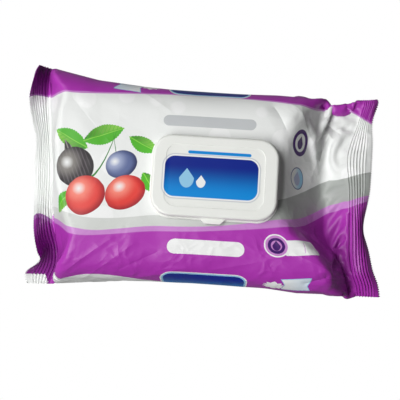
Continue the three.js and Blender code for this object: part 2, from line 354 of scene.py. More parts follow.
# Where each crimped seal starts and is cut, from the far end to the near end.
sealCurves = {
    "leftRoot": [(-117.5, 83.5, 21), (-118.2, 74, 26), (-117.3, 60.4, 27), (-115.8, 40, 23),
                 (-112.4, 17.2, 21), (-110.3, 0, 23), (-108.8, -19.5, 27), (-106.6, -33, 26),
                 (-102.5, -50, 18), (-102.5, -61, 12), (-105.5, -69, 8), (-108, -75, 6)],
    "leftEdge": [(-123.6, 81.3, 38), (-125, 74.3, 44), (-127.5, 62.3, 44), (-128.2, 54.4, 40),
                 (-126.2, 41.5, 32), (-122.9, 27.9, 27), (-123, 6.2, 24), (-120.8, -16.1, 26),
                 (-118, -39, 36), (-114.3, -53.2, 38), (-112.9, -59.6, 30), (-124.7, -67.6, 10),
                 (-124.5, -75.3, 3)],
    "rightRoot": [(112.5, 73.5, 24), (114.0, 69.5, 27), (110.8, 54.5, 20), (103.8, 31.4, 23),
                  (105.4, 6.9, 27), (106.4, -5.5, 24), (106.8, -17.5, 23), (107.4, -26.9, 22),
                  (108.5, -43.2, 20), (111.2, -54, 17), (115.5, -62.8, 12), (117.9, -70, 6)],
    "rightEdge": [(124.5, 76, 20), (125.7, 72.5, 22), (122, 57.9, 19), (122.6, 42.8, 20),
                  (122.4, 33, 21), (121.5, 8.3, 24), (121.4, -1.9, 18), (121, -14.8, 8),
                  (121.6, -22.9, 6), (123.6, -30.2, 7), (125.4, -37.5, 9), (128, -48.7, 9),
                  (130.1, -53.6, 7), (133.3, -60.7, 5), (135.2, -69.6, 3)],
}
# The block of wipes as the film feels it: its ends and heights, its roundings, the right end's slant, the
# left end's skew, and its half widths on both sides at places along it.
stack = {
    "left": -107.7, "right": 77.0, "bottom": 0.7, "top": 54.2, "round": 24.0, "leftRound": 3.0,
    "rightRound": 7.0, "slant": 0.84, "slantFrom": 5, "slantRun": 60, "slantEdge": 55, "edgeRun": 50,
    "skew": 0.1, "skewRun": 90, "along": (-112, -95, -80, -43, -6, 20, 50, 72, 92, 110),
    "far": (80.5, 77, 74, 71, 69.5, 70, 71, 70.5, 70, 68),
    "near": (73, 72.5, 71, 70, 68, 68.5, 69.5, 71.5, 71, 66),
}
# The right end's slope: where it starts, and where its foot lies and how high, at places across the pack;
# the gap is the inside's depth at that foot.
valley = {
    "along": (-72, -58, -50, -43, -36, -28, -15, 10, 35, 48, 64),
    "edge": (101, 95, 89, 82, 71, 60, 55.3, 53.5, 57, 64, 70),
    "line": (112, 109, 106, 103, 95, 91.5, 91, 90, 88.5, 85, 86.5),
    "height": (8, 12, 15, 18, 18, 16, 14, 16, 24, 28, 31), "gap": 7.0,
}
# The sheet that parts the film's top from its underside: its height inside the left end, the stretch from
# the seal to there, and its greatest height.
sheet = {"height": 20, "run": 5, "highest": 27}
# The far and near limits of the whole pack seen from above, at places along it.
breadth = {
    "along": (-118, -98, -69, -33, -6, 24, 46, 62, 76, 92, 106, 118),
    "far": (83, 78.8, 74.6, 72.8, 71.5, 72.8, 74, 76.5, 75.5, 71.2, 70.8, 76),
    "near": (77, 73.4, 71.6, 70.7, 69, 69.3, 70.1, 71.4, 72.7, 72.2, 71.6, 75),
}
# Where the left end's slope reaches the top, at places across the pack.
crest = {
    "along": (-71.4, -61.2, -53.3, -42.6, -28.8, -4.6, 23.8, 45.5, 59.3, 72.4),
    "x": (-104.8, -96.6, -92.4, -89.4, -95, -103, -105.8, -104.5, -101, -111.2),
}


def resampling(count, wanted, closed):
    # Weights that carry a row of count points to wanted points by the Catmull-Rom cubic.
    place = np.arange(wanted) * (count / wanted if closed else (count - 1) / (wanted - 1))
    start = np.floor(place).astype(int)
    if not closed:
        start = np.minimum(start, count - 2)
    t = place - start
    weights = [(-t + 2 * t**2 - t**3) / 2, (2 - 5 * t**2 + 3 * t**3) / 2, (t + 4 * t**2 - 3 * t**3) / 2,
               (t**3 - t**2) / 2]
    table = np.zeros((wanted, count))
    for k in range(4):
        at = start + k - 1
        at = at % count if closed else np.clip(at, 0, count - 1)
        np.add.at(table, (np.arange(wanted), at), weights[k])
    return table


def resized(points, rows, columns):
    # The same tube on another grid.
    points = np.einsum("ri,ijk->rjk", resampling(points.shape[0], rows, False), points)
    return np.einsum("cj,rjk->rck", resampling(points.shape[1], columns, True), points)


def alongCurve(name, share):
    # Points at the given shares of a smooth seal curve's length, far end first.
    points = np.array(sealCurves[name], float)
    fine = resampling(len(points), 400, False) @ points
    run = np.r_[0, np.cumsum(np.linalg.norm(np.diff(fine, axis=0), axis=1))]
    return np.stack([np.interp(share * run[-1], run, fine[:, k]) for k in range(3)], -1)


def flatGrid(rows, columns):
    # Flat film places: u along the pack, v round it, 0 at the top's middle line and rising to the far
    # side; whether they are on top; and how far across they are, -1 at the near fold, 1 at the far one.
    girth = film["girth"]
    around = (np.arange(columns) / columns - 0.5) * girth
    u, v = np.meshgrid(np.linspace(0, film["length"], rows), around, indexing="ij")
    top = np.abs(v) <= girth / 4
    across = np.where(top, v, np.where(v >= 0, 0.5, -0.5) * girth - v) / (girth / 4)
    return u, v, top, across


def layerSide(top, across):
    # 1 on the top layer and -1 on the underside, fading to 0 at the folds.
    return np.where(top, 1, -1) * np.clip((1 - np.abs(across)) * 20, 0, 1)


def blockDistance(points):
    # How far points are outside the block of wipes, and the way out. Its section is a rounded rectangle
    # whose half width varies along the pack; its two ends are rounded too; it leans at the right and is
    # skewed at the left. Good near its surface only.
    x, y, z = np.moveaxis(points - [0, 0, (stack["top"] + stack["bottom"]) / 2], -1, 0)
    proud = np.interp(y, valley["along"], valley["edge"]) - stack["slantEdge"]
    lean = stack["slant"] - proud / (stack["top"] - stack["bottom"])
    leant = lean * smooth((x - stack["slantFrom"]) / stack["slantRun"]) * z
    shifted = proud / 2 * smooth(x / stack["edgeRun"])
    skewed = stack["skew"] * smooth(-x / stack["skewRun"]) * y
    x = x + leant - shifted + skewed
    x = x - (stack["left"] + stack["right"]) / 2
    far, near = (np.interp(points[..., 0], stack["along"], stack[side]) for side in ("far", "near"))
    r = stack["round"]
    overY = np.maximum(np.abs(y) - np.where(y > 0, far, near) + r, 1e-6)
    overZ = np.maximum(np.abs(z) - (stack["top"] - stack["bottom"]) / 2 + r, 1e-6)
    section = np.hypot(overY, overZ)
    ends = np.where(x < 0, stack["leftRound"], stack["rightRound"])
    overX = np.maximum(np.abs(x) - (stack["right"] - stack["left"]) / 2 + ends, 1e-6)
    overSide = np.maximum(section - r + ends, 1e-6)
    reach = np.hypot(overX, overSide)
    sideward = overSide / reach / section
    out = [np.sign(x) * overX / reach, np.sign(y) * overY * sideward, np.sign(z) * overZ * sideward]
    return reach - ends, np.stack(out, -1)


def rootsAt(y):
    # Where the left and the right seal's root lies at this y: x and z of each.
    ends = []
    for name in ("leftRoot", "rightRoot"):
        root = alongCurve(name, np.linspace(1, 0, 60))
        ends.append([np.interp(y, root[:, 1], root[:, k]) for k in (0, 2)])
    return ends


def limits(points):
    # The height that the top layer stays below near both ends, and that of the sheet which parts the
    # layers. At the left the film slopes straight from its crest to the seal. At the right it is drawn
    # down to a valley line and rises again to the seal. Between the two it has no limit.
    x, y = points[..., 0], points[..., 1]
    full, unlimited = stack["top"] + cloth["lift"], 200
    (leftX, leftZ), (rightX, rightZ) = rootsAt(y)
    top = np.interp(y, crest["along"], crest["x"])
    onLeft = leftZ + (full - leftZ) * np.clip((x - leftX) / (top - leftX), 0, 1)
    edge, line, low = (np.interp(y, valley["along"], valley[name]) for name in ("edge", "line", "height"))
    beyond = np.clip((x - line) / (rightX - line), 0, 1)
    slope = low + (full - low) * (line - x) / (line - edge)
    onRight = np.where(x < line, slope, low + (rightZ - low) * beyond)
    above = np.where(x < top, onLeft, np.where(x > edge, onRight, unlimited))
    leftPart = leftZ + (sheet["height"] - leftZ) * smooth((x - leftX) / sheet["run"])
    parting = np.where(x < 0, leftPart, onRight - 0.2 - valley["gap"] * (1 - beyond) ** 0.7)
    return above, np.minimum(parting, sheet["highest"])


def pushOut(points):
    # Carries points that lie inside the block and below its cut ends out to the nearer of the two.
    distance, out = blockDistance(points)
    rise = limits(points)[0] - cloth["under"] - points[..., 2]
    inside = (distance < 0) & (rise > 0)
    upward = inside & (rise * cloth["upward"] < -distance)
    moved = points - np.where(inside & ~upward, distance, 0)[..., None] * out
    moved[..., 2] += np.where(upward, rise, 0)
    return moved


def startShape(rows, columns):
    # First guess: rounded sections that grow out of the two flat seals.
    guess, length = firstGuess, film["length"]
    u, v, top, across = flatGrid(rows, columns)
    left, right = (alongCurve(name, (1 - across[0]) / 2) for name in ("leftRoot", "rightRoot"))
    (leftRise, leftReach), (rightRise, rightReach) = guess["left"], guess["right"]
    fromLeft, fromRight = np.clip(u / leftRise, 0, 1), np.clip((length - u) / rightRise, 0, 1)
    rise = np.minimum(fromLeft, fromRight)
    onLeft = u < length / 2
    seal = np.where(onLeft[..., None], left, right)
    leftRun = leftReach * (1 - np.cos(fromLeft * np.pi / 2)) + np.maximum(u - leftRise, 0)
    rightRun = rightReach * (1 - np.cos(fromRight * np.pi / 2)) + np.maximum(length - u - rightRise, 0)
    turn = np.clip(np.abs(across) * 2 - 1, 0, 1) * np.pi / 2
    straight = np.minimum(np.abs(across) * 2, 1) * guess["straight"]
    y = np.sign(across) * (straight + guess["round"] * np.sin(turn))
    z = np.where(top, 1, -1) * np.cos(turn)
    blend = smooth(rise)
    middle = seal[..., 2] * (1 - blend) + guess["round"] * blend
    return np.stack([
        seal[..., 0] + np.where(onLeft, leftRun, -rightRun),
        seal[..., 1] * (1 - blend) + y * blend,
        middle + z * guess["deep"] * np.sin(rise * np.pi / 2),
    ], -1)


def hold(first, second, firstFree, secondFree, rest, stiffness, onlyPush=False):
    # Moves each pair of points along its own line, by the stiffness's share of how far its length is off
    # and each point by how free it is; onlyPush leaves pairs that are too far apart alone.
    step = second - first
    length = np.sqrt((step * step).sum(-1, keepdims=True)) + 1e-9
    gap = (length - rest) / length
    if onlyPush:
        gap = np.minimum(gap, 0)
    pull = stiffness * gap / np.maximum(firstFree + secondFree, 1e-9) * step
    first += firstFree * pull
    second -= secondFree * pull


def restoreLengths(points, free, along, around):
    # Puts the lengths right, along, across and along both diagonals, then keeps points two apart from
    # coming closer, which is the film's stiffness. Each hold takes pairs that share no point.
    evens, odds = slice(0, None, 2), slice(1, None, 2)
    for k in (0, 1):
        a, b = slice(k, -1, 2), slice(k + 1, None, 2)
        hold(points[a], points[b], free[a], free[b], along, 1)
    for turn in (0, 1):
        points, free = np.roll(points, -turn, 1), np.roll(free, -turn, 1)
        hold(points[:, evens], points[:, odds], free[:, evens], free[:, odds], around, 1)
        for k in (0, 1):
            a, b = slice(k, -1, 2), slice(k + 1, None, 2)
            for c, d in ((evens, odds), (odds, evens)):
                diagonal = math.hypot(along, around)
                hold(points[a, c], points[b, d], free[a, c], free[b, d], diagonal, cloth["shear"])
        points, free = np.roll(points, turn, 1), np.roll(free, turn, 1)
    for k in range(4):
        a, b = slice(k, -2, 4), slice(k + 2, None, 4)
        hold(points[a], points[b], free[a], free[b], 2 * along, cloth["bending"], True)
    for turn in range(4):
        a, b = slice(0, None, 4), slice(2, None, 4)
        hold(points[:, a], points[:, b], free[:, a], free[:, b], 2 * around, cloth["bending"], True)
        points, free = np.roll(points, -1, 1), np.roll(free, -1, 1)
    return np.roll(points, 4, 1)


def settle(points, steps):
    # Lets the film find its folds: each step moves it by its own speed, air and weight, then restores its
    # lengths and keeps it off block, floor, seals and itself.
    rows, columns = points.shape[:2]
    u, v, top, across = flatGrid(rows, columns)
    along, around = film["length"] / (rows - 1), film["girth"] / columns
    for row, name in ((0, "leftRoot"), (-1, "rightRoot")):
        points[row] = alongCurve(name, (1 - across[0]) / 2)
        points[row, :, 2] += film["layerGap"] * layerSide(top[0], across[0])
    fromLid = u - film["lidAt"][0], v - film["lidAt"][1]
    cornerX, cornerY = (np.abs(place) - half for place, half in zip(fromLid, film["patch"]))
    reach = np.hypot(np.maximum(cornerX, 0), np.maximum(cornerY, 0))
    reach += np.minimum(np.maximum(cornerX, cornerY), 0)
    underLid = top & (reach < film["patchCorner"])
    patch = [lidX + fromLid[0], lidY + fromLid[1], np.full(u.shape, film["patchHeight"])]
    points[underLid] = np.stack(patch, -1)[underLid]
    free = np.ones((rows, columns, 1))
    free[0] = free[-1] = 0
    free[underLid] = 0
    target = np.where(v[0] >= 0, 0.5, -0.5) * film["girth"] - v[0]
    partner = np.round(target / around + columns / 2).astype(int) % columns
    side = np.where(top, 1, -1)
    old = points.copy()
    for step in range(steps):
        speed = cloth["kept"] * (points - old)
        old = points.copy()
        length = np.zeros_like(points)
        length[1:-1] = points[2:] - points[:-2]
        normal = np.cross(length, np.roll(points, -1, 1) - np.roll(points, 1, 1))
        normal /= np.linalg.norm(normal, axis=-1, keepdims=True) + 1e-9
        air = cloth["press"] - cloth["sag"] * smooth((points[..., :1] - cloth["sagFrom"]) / cloth["sagRun"])
        points = points + free * (speed + air * normal - [0, 0, cloth["weight"]])
        for again in range(2):
            points = restoreLengths(points, free, along, around)
        points = np.where(free > 0, pushOut(points), points)
        above, parting = limits(points)
        z, gap = points[..., 2], cloth["sheetGap"]
        highest = np.maximum(above, parting + gap)
        held = np.where(top, np.clip(z, parting + gap, highest), np.minimum(z, parting - gap))
        points[..., 2] = np.where((free[..., 0] > 0) & (np.abs(across) < cloth["sheetReach"]), held, z)
        short = np.clip(cloth["apart"] - side * (points[..., 2] - points[:, partner, 2]), 0, None)
        points[..., 2] += free[..., 0] * side * 0.5 * short * (np.abs(across) < cloth["apartReach"])
        points[..., 2] = np.maximum(points[..., 2], cloth["floor"])
        far, near = (np.interp(points[..., 0], breadth["along"], breadth[name]) for name in ("far", "near"))
        points[1:-1, :, 1] = np.clip(points[..., 1], -near, far)[1:-1]
        (leftX, leftZ), (rightX, rightZ) = rootsAt(points[..., 1])
        leftX, rightX = leftX + cloth["rootGap"], rightX - cloth["rootGap"]
        points[1:-1, :, 0] = np.clip(points[..., 0], leftX, rightX)[1:-1]
    return points


def soften(points):
    # Takes the jagged pleats out of the film next to the left seal: there each point moves towards the
    # mean of its four neighbours, several times over.
    u, v, top, across = flatGrid(*points.shape[:2])
    nearFold = smooth((1 - np.abs(across)) / cloth["softFold"])
    share = cloth["soft"] * smooth((cloth["softFrom"] - u) / cloth["softRun"]) * nearFold
    for again in range(cloth["softTimes"]):
        lengthwise = np.roll(points, 1, 0) + np.roll(points, -1, 0)
        mean = (lengthwise + np.roll(points, 1, 1) + np.roll(points, -1, 1)) / 4
        points[1:-1] += (share[..., None] * (mean - points))[1:-1]
    return points


def settledTube():
    # The film between its seals, settled on a coarse grid first and then on a finer one.
    coarse, fine, finest = cloth["grids"]
    steps = cloth["steps"]
    shape = settle(startShape(*coarse), steps[0])
    shape = soften(settle(resized(shape, *fine), steps[1]))
    return resized(shape, *finest)


def stripPoints(rootName, edgeName, outward, share, across):
    # A crimped strip from its root to its cut edge: a quadratic curve that starts the way its lead says,
    # with sine ribs across it. Rows are shares of the width, columns are places along the seal.
    root, edge = (alongCurve(name, (1 - across) / 2)[None] for name in (rootName, edgeName))
    t = share[:, None, None]
    lead = film["lead"][0 if outward < 0 else 1]
    middle = root + [outward * lead[0], 0, 0] * np.linalg.norm(edge - root, axis=-1, keepdims=True)
    middle[..., 2] += lead[1] * (edge - root)[..., 2]
    points = (1 - t) ** 2 * root + 2 * t * (1 - t) * middle + t**2 * edge
    normal = np.cross(np.gradient(points, axis=0) * outward, np.gradient(points, axis=1))
    normal /= np.linalg.norm(normal, axis=-1, keepdims=True)
    run = t * film["stripWidth"]
    toGo = film["ribs"] * film["ribPitch"] + film["ribTail"] - run
    ribbed = smooth(run / film["ribFade"]) * smooth(toGo / film["ribFade"])
    wave = np.sin(2 * np.pi * run / film["ribPitch"])
    return points + normal * film["ribHeight"] * ribbed * wave, normal


def cutOpening(points, flat, quads):
    # Leaves out the quads in the opening, a stadium, and moves the corners just inside its edge onto it.
    halfLength, halfDepth = film["hole"][0] / 2, film["hole"][1] / 2
    place = flat - film["lidAt"]
    core = np.clip(place[:, 0], halfDepth - halfLength, halfLength - halfDepth)
    reach = np.hypot(place[:, 0] - core, place[:, 1])
    inHole = (reach < halfDepth) & (np.abs(flat[:, 1]) < film["girth"] / 4)
    quads = quads[~inHole[quads].all(1)]
    onEdge = np.zeros(len(points), bool)
    onEdge[quads.ravel()] = True
    onEdge &= inHole
    grow = (halfDepth / np.maximum(reach, 1e-6))[:, None]
    moved = np.stack([core, np.zeros_like(core)], -1) * (1 - grow) + place * grow
    points[onEdge, :2] += (moved - place)[onEdge]
    flat[onEdge] += (moved - place)[onEdge]
    return quads


def filmWrapper(material):
    # The settled tube between its two crimped strips, with a zigzag cut at each end and the lid's opening.
    shape = settledTube()
    print("film settled")
    rows, columns = shape.shape[:2]
    quarter = columns // 4
    j = np.arange(columns)
    fold = np.where(j < quarter, quarter - j, np.where(j > 3 * quarter, 5 * quarter - j, j - quarter))
    across = np.linspace(-1, 1, columns // 2 + 1)
    side = layerSide((j >= quarter) & (j <= 3 * quarter), across[fold])
    share = np.linspace(0, 1, film["stripRows"] + 1)
    strips = []
    for rootName, edgeName, outward in (("leftRoot", "leftEdge", -1), ("rightRoot", "rightEdge", 1)):
        points, normal = stripPoints(rootName, edgeName, outward, share, across)
        strips.append(points[:, fold] + normal[:, fold] * film["layerGap"] * side[None, :, None])
    shape[0], shape[-1] = strips[0][0], strips[1][0]
    grid = np.concatenate([strips[0][:0:-1], shape, strips[1][1:]])
    width = share[1:] * film["stripWidth"]
    along = np.concatenate([-width[::-1], np.linspace(0, film["length"], rows), film["length"] + width])
    around = (j / columns - 0.5) * film["girth"]
    flat = np.stack(np.meshgrid(along, around, indexing="ij"), -1).reshape(-1, 2)
    index = np.arange(len(grid) * columns).reshape(-1, columns)
    points = grid.reshape(-1, 3)
    quads = cutOpening(points, flat, gridFaces(len(grid), columns))

    # Each tooth of the zigzag cut is one triangle on the last row's edge.
    faces = [quads]
    for row, inner, outward in ((0, 1, -1), (-1, -2, 1)):
        first, second = index[row], np.roll(index[row], -1)
        away = points[first] - points[index[inner]]
        away *= film["tooth"] / np.linalg.norm(away, axis=-1, keepdims=True)
        tips = len(points) + np.arange(columns)
        points = np.concatenate([points, (points[first] + points[second]) / 2 + away])
        flatTips = flat[first] + [outward * film["tooth"], film["girth"] / columns / 2]
        flat = np.concatenate([flat, flatTips])
        faces.append(np.stack([first, second, tips] if outward < 0 else [first, tips, second], -1))
    # Faces that cross the map's seam under the pack take places past its end.
    maps = [flat[f] for f in faces]
    for places in maps:
        v = places[..., 1]
        v += film["girth"] * ((v < 0) & (np.ptp(v, axis=1) > film["girth"] / 2)[:, None])
    made = makeObject("film", points, faces, material, maps, 70)
    shell = made.modifiers.new("thickness", "SOLIDIFY")
    shell.thickness = film["thickness"] * 0.001
    shell.offset = -1
    return made


# Lid
# Outlines are length, depth and corner; heights are above the underside of the base.
lid = {
    "flange": (90.0, 59.5, 15.0), "flangeTop": 1.0, "platform": (84.2, 52.8, 12.0), "platformTop": 4.2,
    "platformShift": -0.2, "platformRound": 0.7, "baseWall": 1.2, "mouth": (58.0, 24.0), "rimTop": 5.4,
    "cover": (88.0, 57.0, 14.0), "coverBottom": 1.3, "coverTop": 7.2, "coverRound": 2.0,
    "panel": (69.0, 44.0, 8.0), "panelStep": 0.3, "wall": 1.3, "ceiling": (84, 53, 12), "cap": 1.2,
    "tab": {"width": 20.5, "proud": 3.9, "bottom": 1.6, "top": 3.8}, "ring": (66.0, 32.0),
    "ringBottom": 5.2, "strapTop": 3.9, "strapThick": 0.5, "strapInset": 0.4,
}
# Each web's middle along the hinge, from the lid's middle, and its width.
straps = {
    "outer_left": (-27.3, 4.0), "inner_left": (-19.1, 4.0), "centre": (0.0, 11.6),
    "inner_right": (18.1, 4.0), "outer_right": (26.6, 4.0),
}


def level(size, inset, z, tab=0.0, shift=0.0):
    # One ring of the lid: a rounded outline drawn in by inset at height z, with the thumb tab let out.
    length, depth, corner = size
    flat = outline(length - 2 * inset, depth - 2 * inset, max(corner - inset, 0.3), shift=shift)
    out = smooth((1 - np.abs(flat[:, 0]) / (lid["tab"]["width"] / 2)) / 0.55) * (flat[:, 1] < 0)
    flat[:, 1] -= out * tab * lid["tab"]["proud"]
    return np.column_stack([flat + [lidX, lidY], np.full(len(flat), mouldingZ + z)])


def profile(size, *places, shift=0.0):
    # Rings of one outline at several insets and heights.
    return [level(size, inset, z, shift=shift) for inset, z in places]


def rounding(size, r, top, count, shift=0.0):
    # Rings round a convex edge: a quarter circle of radius r from the top face to the side.
    turn = np.linspace(0, np.pi / 2, count)
    places = [(r * (1 - math.sin(a)), top - r * (1 - math.cos(a))) for a in turn]
    return profile(size, *places, shift=shift)


def shrinking(size, z, shares):
    # Rings of one outline at shares of its size, for a flat face.
    return [level((size[0] * k, size[1] * k, size[2] * k), 0, z) for k in shares]


def lidCover(material):
    # Outer skin from the panel's middle out over the rounded edge, round the tab and the lower rim, and in
    # under; then the ring that presses on the mouth's rim.
    size, panel, r, top, wall = (lid[name] for name in ("cover", "panel", "coverRound", "coverTop", "wall"))
    bottom, tab, sunk = lid["coverBottom"], lid["tab"], top - lid["panelStep"]
    rings = shrinking(panel, sunk, (0.15, 0.35, 0.55, 0.75, 0.9))
    rings += profile(panel, (0.35, sunk), (0.1, sunk + 0.05), (0, top - 0.08), (-0.12, top))
    rings += profile(size, (r + 1.5, top), (r + 0.2, top))
    rings += rounding(size, r, top, 8)
    rings += profile(size, (0, tab["top"] + 0.5), (0, tab["top"] + 0.06))
    tabEdge = ((0, 0.8), (0.06, 0.9), (0.22, 0.97), (0.5, 1), (1.7, 1), (1.98, 0.97), (2.14, 0.9))
    rings += [level(size, 0, tab["top"] - z, out) for z, out in tabEdge]
    ceiling = top - lid["cap"]
    rings += profile(size, (0, tab["bottom"] - 0.04), (0.04, bottom + 0.12), (0.16, bottom + 0.02),
                     (0.35, bottom), (wall - 0.2, bottom), (wall, bottom + 0.2), (wall, ceiling - 0.5),
                     (wall + 0.15, ceiling - 0.12), (wall + 0.5, ceiling))
    rings += shrinking(lid["ceiling"], ceiling, (0.9, 0.7, 0.5, 0.3, 0.1))
    ring, low = (*lid["ring"], lid["ring"][1] / 2 - 0.1), lid["ringBottom"]
    collar = profile(ring, (0, ceiling + 0.3), (-1, ceiling + 0.3), (-1, low + 0.2), (-0.8, low),
                     (-0.2, low), (0, low + 0.2))
    return makeObject("cover", *joined([lathe(rings), hoop(collar)]), material)


def lidBase(material):
    # One closed profile: flange, hollow underside, rim round the mouth, platform top and wall.
    flange, platform = lid["flange"], lid["platform"]
    shift, wall = lid["platformShift"], lid["baseWall"]
    low, top, rimTop = lid["flangeTop"], lid["platformTop"], lid["rimTop"]
    mouth = (*lid["mouth"], lid["mouth"][1] / 2 - 0.1)
    rings = profile(flange, (0.15, 0), (5, 0))
    rings += profile(platform, (wall, 0), (wall, top - wall), shift=shift)
    rings += profile(mouth, (-6, top - wall), (0, top - wall), (0, top - 0.2), (-0.2, top), (-1.35, top),
                     (-1.5, top + 0.15), (-1.5, rimTop - 0.3), (-1.65, rimTop - 0.08), (-1.9, rimTop),
                     (-2.6, rimTop), (-2.85, rimTop - 0.08), (-3, rimTop - 0.3), (-3, top + 0.25),
                     (-3.25, top))
    rings += profile(platform, (2.5, top), shift=shift)
    rings += rounding(platform, lid["platformRound"], top, 6, shift)
    rings += profile(platform, (0, low + 1), (0, low + 0.25), (-0.08, low + 0.08), (-0.3, low), shift=shift)
    rings += profile(flange, (1.2, low), (0.35, low), (0.1, low - 0.1), (0, low - 0.35), (0, 0.2))
    return makeObject("base", *hoop(rings), material)


def hingeStrap(name, x, width, material):
    # A thin web: its section, a flat rounded bar, is swept up from the flange, round a quarter circle and
    # over to the cover's wall.
    wall, top, half = lid["cover"][1] / 2, lid["strapTop"], lid["strapThick"] / 2
    outer = lid["flange"][1] / 2 - lid["strapInset"] - wall
    turn = np.linspace(0, np.pi / 2, 8)
    path = np.concatenate([
        np.stack([np.full(7, wall + outer - half), np.linspace(lid["flangeTop"], top - outer, 7)], -1),
        np.stack([wall + (outer - half) * np.cos(turn), top - outer + (outer - half) * np.sin(turn)], -1)[1:],
        [[wall - 0.15, top - half]],
    ])
    along = np.gradient(path, axis=0)
    along /= np.linalg.norm(along, axis=-1, keepdims=True)
    out = np.stack([along[:, 1], -along[:, 0]], -1)
    section = outline(width, 2 * half, 0.18, 28)
    rings = np.zeros((len(path), len(section), 3))
    rings[..., 0] = lidX + x + section[:, 0]
    rings[..., 1:] = (path[:, None] + out[:, None] * section[None, :, 1:]) + [lidY, mouldingZ]
    return makeObject(name, *lathe(rings[::-1]), material)


# Stack of wipes
wipes = {
    # How far inside the block and under the film's slopes; points round a ring, its depth and corner.
    "inset": 1.0, "underFilm": 2, "count": 256, "depth": 140, "corner": 24,
    # The folds: how many, how deep each is, and how much one drifts from the next.
    "layers": 40, "layerDepth": 0.5, "drift": 0.35,
    # The crest in the mouth: half length, half width, height; and the height of the creases round it.
    "crest": (20.0, 8.5, 5.8), "crease": 0.5,
    # The near left corner sinks by so much; where that starts and over what stretch, along and across.
    "sunk": 9, "sunkFrom": (-76, -32), "sunkRun": (26, 30),
}


def wipeStack(material):
    # A rounded box of rings, from the top's middle out, down and in underneath, is drawn onto the block's
    # surface. Each fold of wipe is one swell of its sides. The top rises at the lid's mouth in a pinched,
    # creased crest, where the next wipe is drawn out.
    count, inset = wipes["count"], wipes["inset"]
    high, low = stack["top"] - inset, stack["bottom"] + inset
    rim = outline(stack["right"] - stack["left"] - 12, wipes["depth"], wipes["corner"], count)
    middle = np.array([(stack["left"] + stack["right"]) / 2, 0])
    places = [(k, high) for k in np.linspace(0.004, 0.985, 56)]
    places += [(1, z) for z in np.linspace(high - 0.5, low + 0.5, 160)]
    places += [(k, low) for k in np.linspace(0.985, 0.05, 12)]
    points, faces = lathe([np.column_stack([rim * k + middle, np.full(count, z)]) for k, z in places])
    lean = stack["slant"] * smooth((points[:, 0] - stack["slantFrom"]) / stack["slantRun"])
    points[:, 0] -= lean * (points[:, 2] - (high + low) / 2)
    sides = (points[:, 2] < high - 0.2) & (points[:, 2] > low + 0.2)
    for again in range(6):
        distance, out = blockDistance(points)
        points -= (distance + inset)[:, None] * out
    points[:, 2] = np.minimum(points[:, 2], limits(points)[0] - wipes["underFilm"])
    cornerX, cornerY = (smooth((wipes["sunkFrom"][k] - points[:, k]) / wipes["sunkRun"][k]) for k in (0, 1))
    points[:, 2] -= wipes["sunk"] * cornerX * cornerY * points[:, 2] / high
    x, y, z = points[:, 0], points[:, 1], (points[:, 2] - low) / (high - low)
    layer = z * wipes["layers"]
    swell = np.abs(np.sin(np.pi * (layer + 0.2 * np.sin(x * 0.05 + y * 0.06)))) - 1
    drift = np.sin(x * 0.11 + 2 * np.sin(y * 0.07) + np.floor(layer) * 2.4) - 1
    depth = sides * smooth(z * 8) * smooth((1 - z) * 8)
    depth = depth * (wipes["layerDepth"] * swell + wipes["drift"] * drift)
    points[:, :2] += out[:, :2] * depth[:, None]
    x, y = points[:, 0] - lidX, points[:, 1] - lidY
    long, wide, rise = wipes["crest"]
    px, py = x / long, (y - 1.5 * np.sin(x * 0.16)) / wide
    hill = smooth(1 - np.abs(px)) * (1 - smooth(np.abs(py))) ** 1.6
    crease = np.sin(x * 0.55 + y * 0.35) + 0.6 * np.sin(x * 0.9 - y * 0.8 + 1)
    crease = wipes["crease"] * crease * np.exp(-(px / 0.8) ** 2 - (py / 1.2) ** 2)
    points[:, 2] += (points[:, 2] > high - 0.5) * (rise * hill + crease)
    return makeObject("wipes", points, faces, material)


# Materials
# Print on the film. Places are (u, v) on the flat film, in millimetres.
inks = {
    "film": (241, 243, 241), "pearl": (248, 249, 248), "white": (246, 247, 246), "pill": (198, 201, 203),
    # The two seal inks darken the left seal only: partly the deeper look of fused film, partly painted shade.
    "purple": (180, 58, 182), "purpleLow": (174, 50, 176), "purpleLeftSealShaded": (138, 40, 142),
    "lilac": (205, 138, 210), "lilacLeftSealShaded": (158, 96, 166), "greyLeft": (214, 217, 213),
    "greyRight": (176, 180, 176), "aubergine": (70, 22, 110), "navy": (0, 34, 140), "blue": (0, 140, 222),
    "sky": (150, 205, 236), "pale": (214, 230, 244), "slate": (98, 112, 158), "slateLit": (176, 186, 216),
    "slateLow": (44, 50, 92), "coral": (232, 66, 58), "coralLit": (255, 150, 132), "coralLow": (158, 26, 40),
    "dark": (54, 48, 52), "darkLit": (150, 146, 140), "darkMid": (98, 90, 96), "darkLow": (26, 22, 26),
    "leaf": (84, 184, 44), "leafLit": (150, 216, 84), "leafDark": (40, 128, 34),
}
inks = {name: colour(*ink) for name, ink in inks.items()}
printPlan = {
    # The near bands' edge in the middle and its curves, and the purple field's end under the pack.
    "nearLow": -32.3, "nearRight": 0.0014, "nearLeft": 0.0019, "nearCorner": 0.0067, "nearStrip": 0.72,
    "nearSeal": 0.45, "wrap": 104.0, "hill": 42.0,
    # Breadths of the grey and lilac bands at the left, and what they gain to the right.
    "grey": 7.4, "greyGain": 12.0, "lilac": 3.4, "lilacGain": 2.2, "farLilac": 1.3,
    # The far bands' edge in the middle and its curves.
    "farHigh": 65.3, "farBow": 0.0012, "farCorner": 0.0094, "farRise": 23.0,
    # Pills and a panel as middle, half size and corner; middles of the round badges and of the labels.
    "greyPill": ((142.0, 42.9), (32.0, 3.9), 3.85), "whitePill": ((144.7, -45.6), (25.0, 5.2), 4.8),
    "panel": ((207.0, -41.2), (11.5, 5.4), 1.6), "badge": (190.5, -41.0), "ring": (212.5, 36.0),
    "dropRing": (213.5, 10.9), "nearLabel": (144.0, -80.0), "farLabel": (140.5, 80.0),
    "nearFlag": (204.5, -70.5), "farFlag": (84.0, 71.5),
}


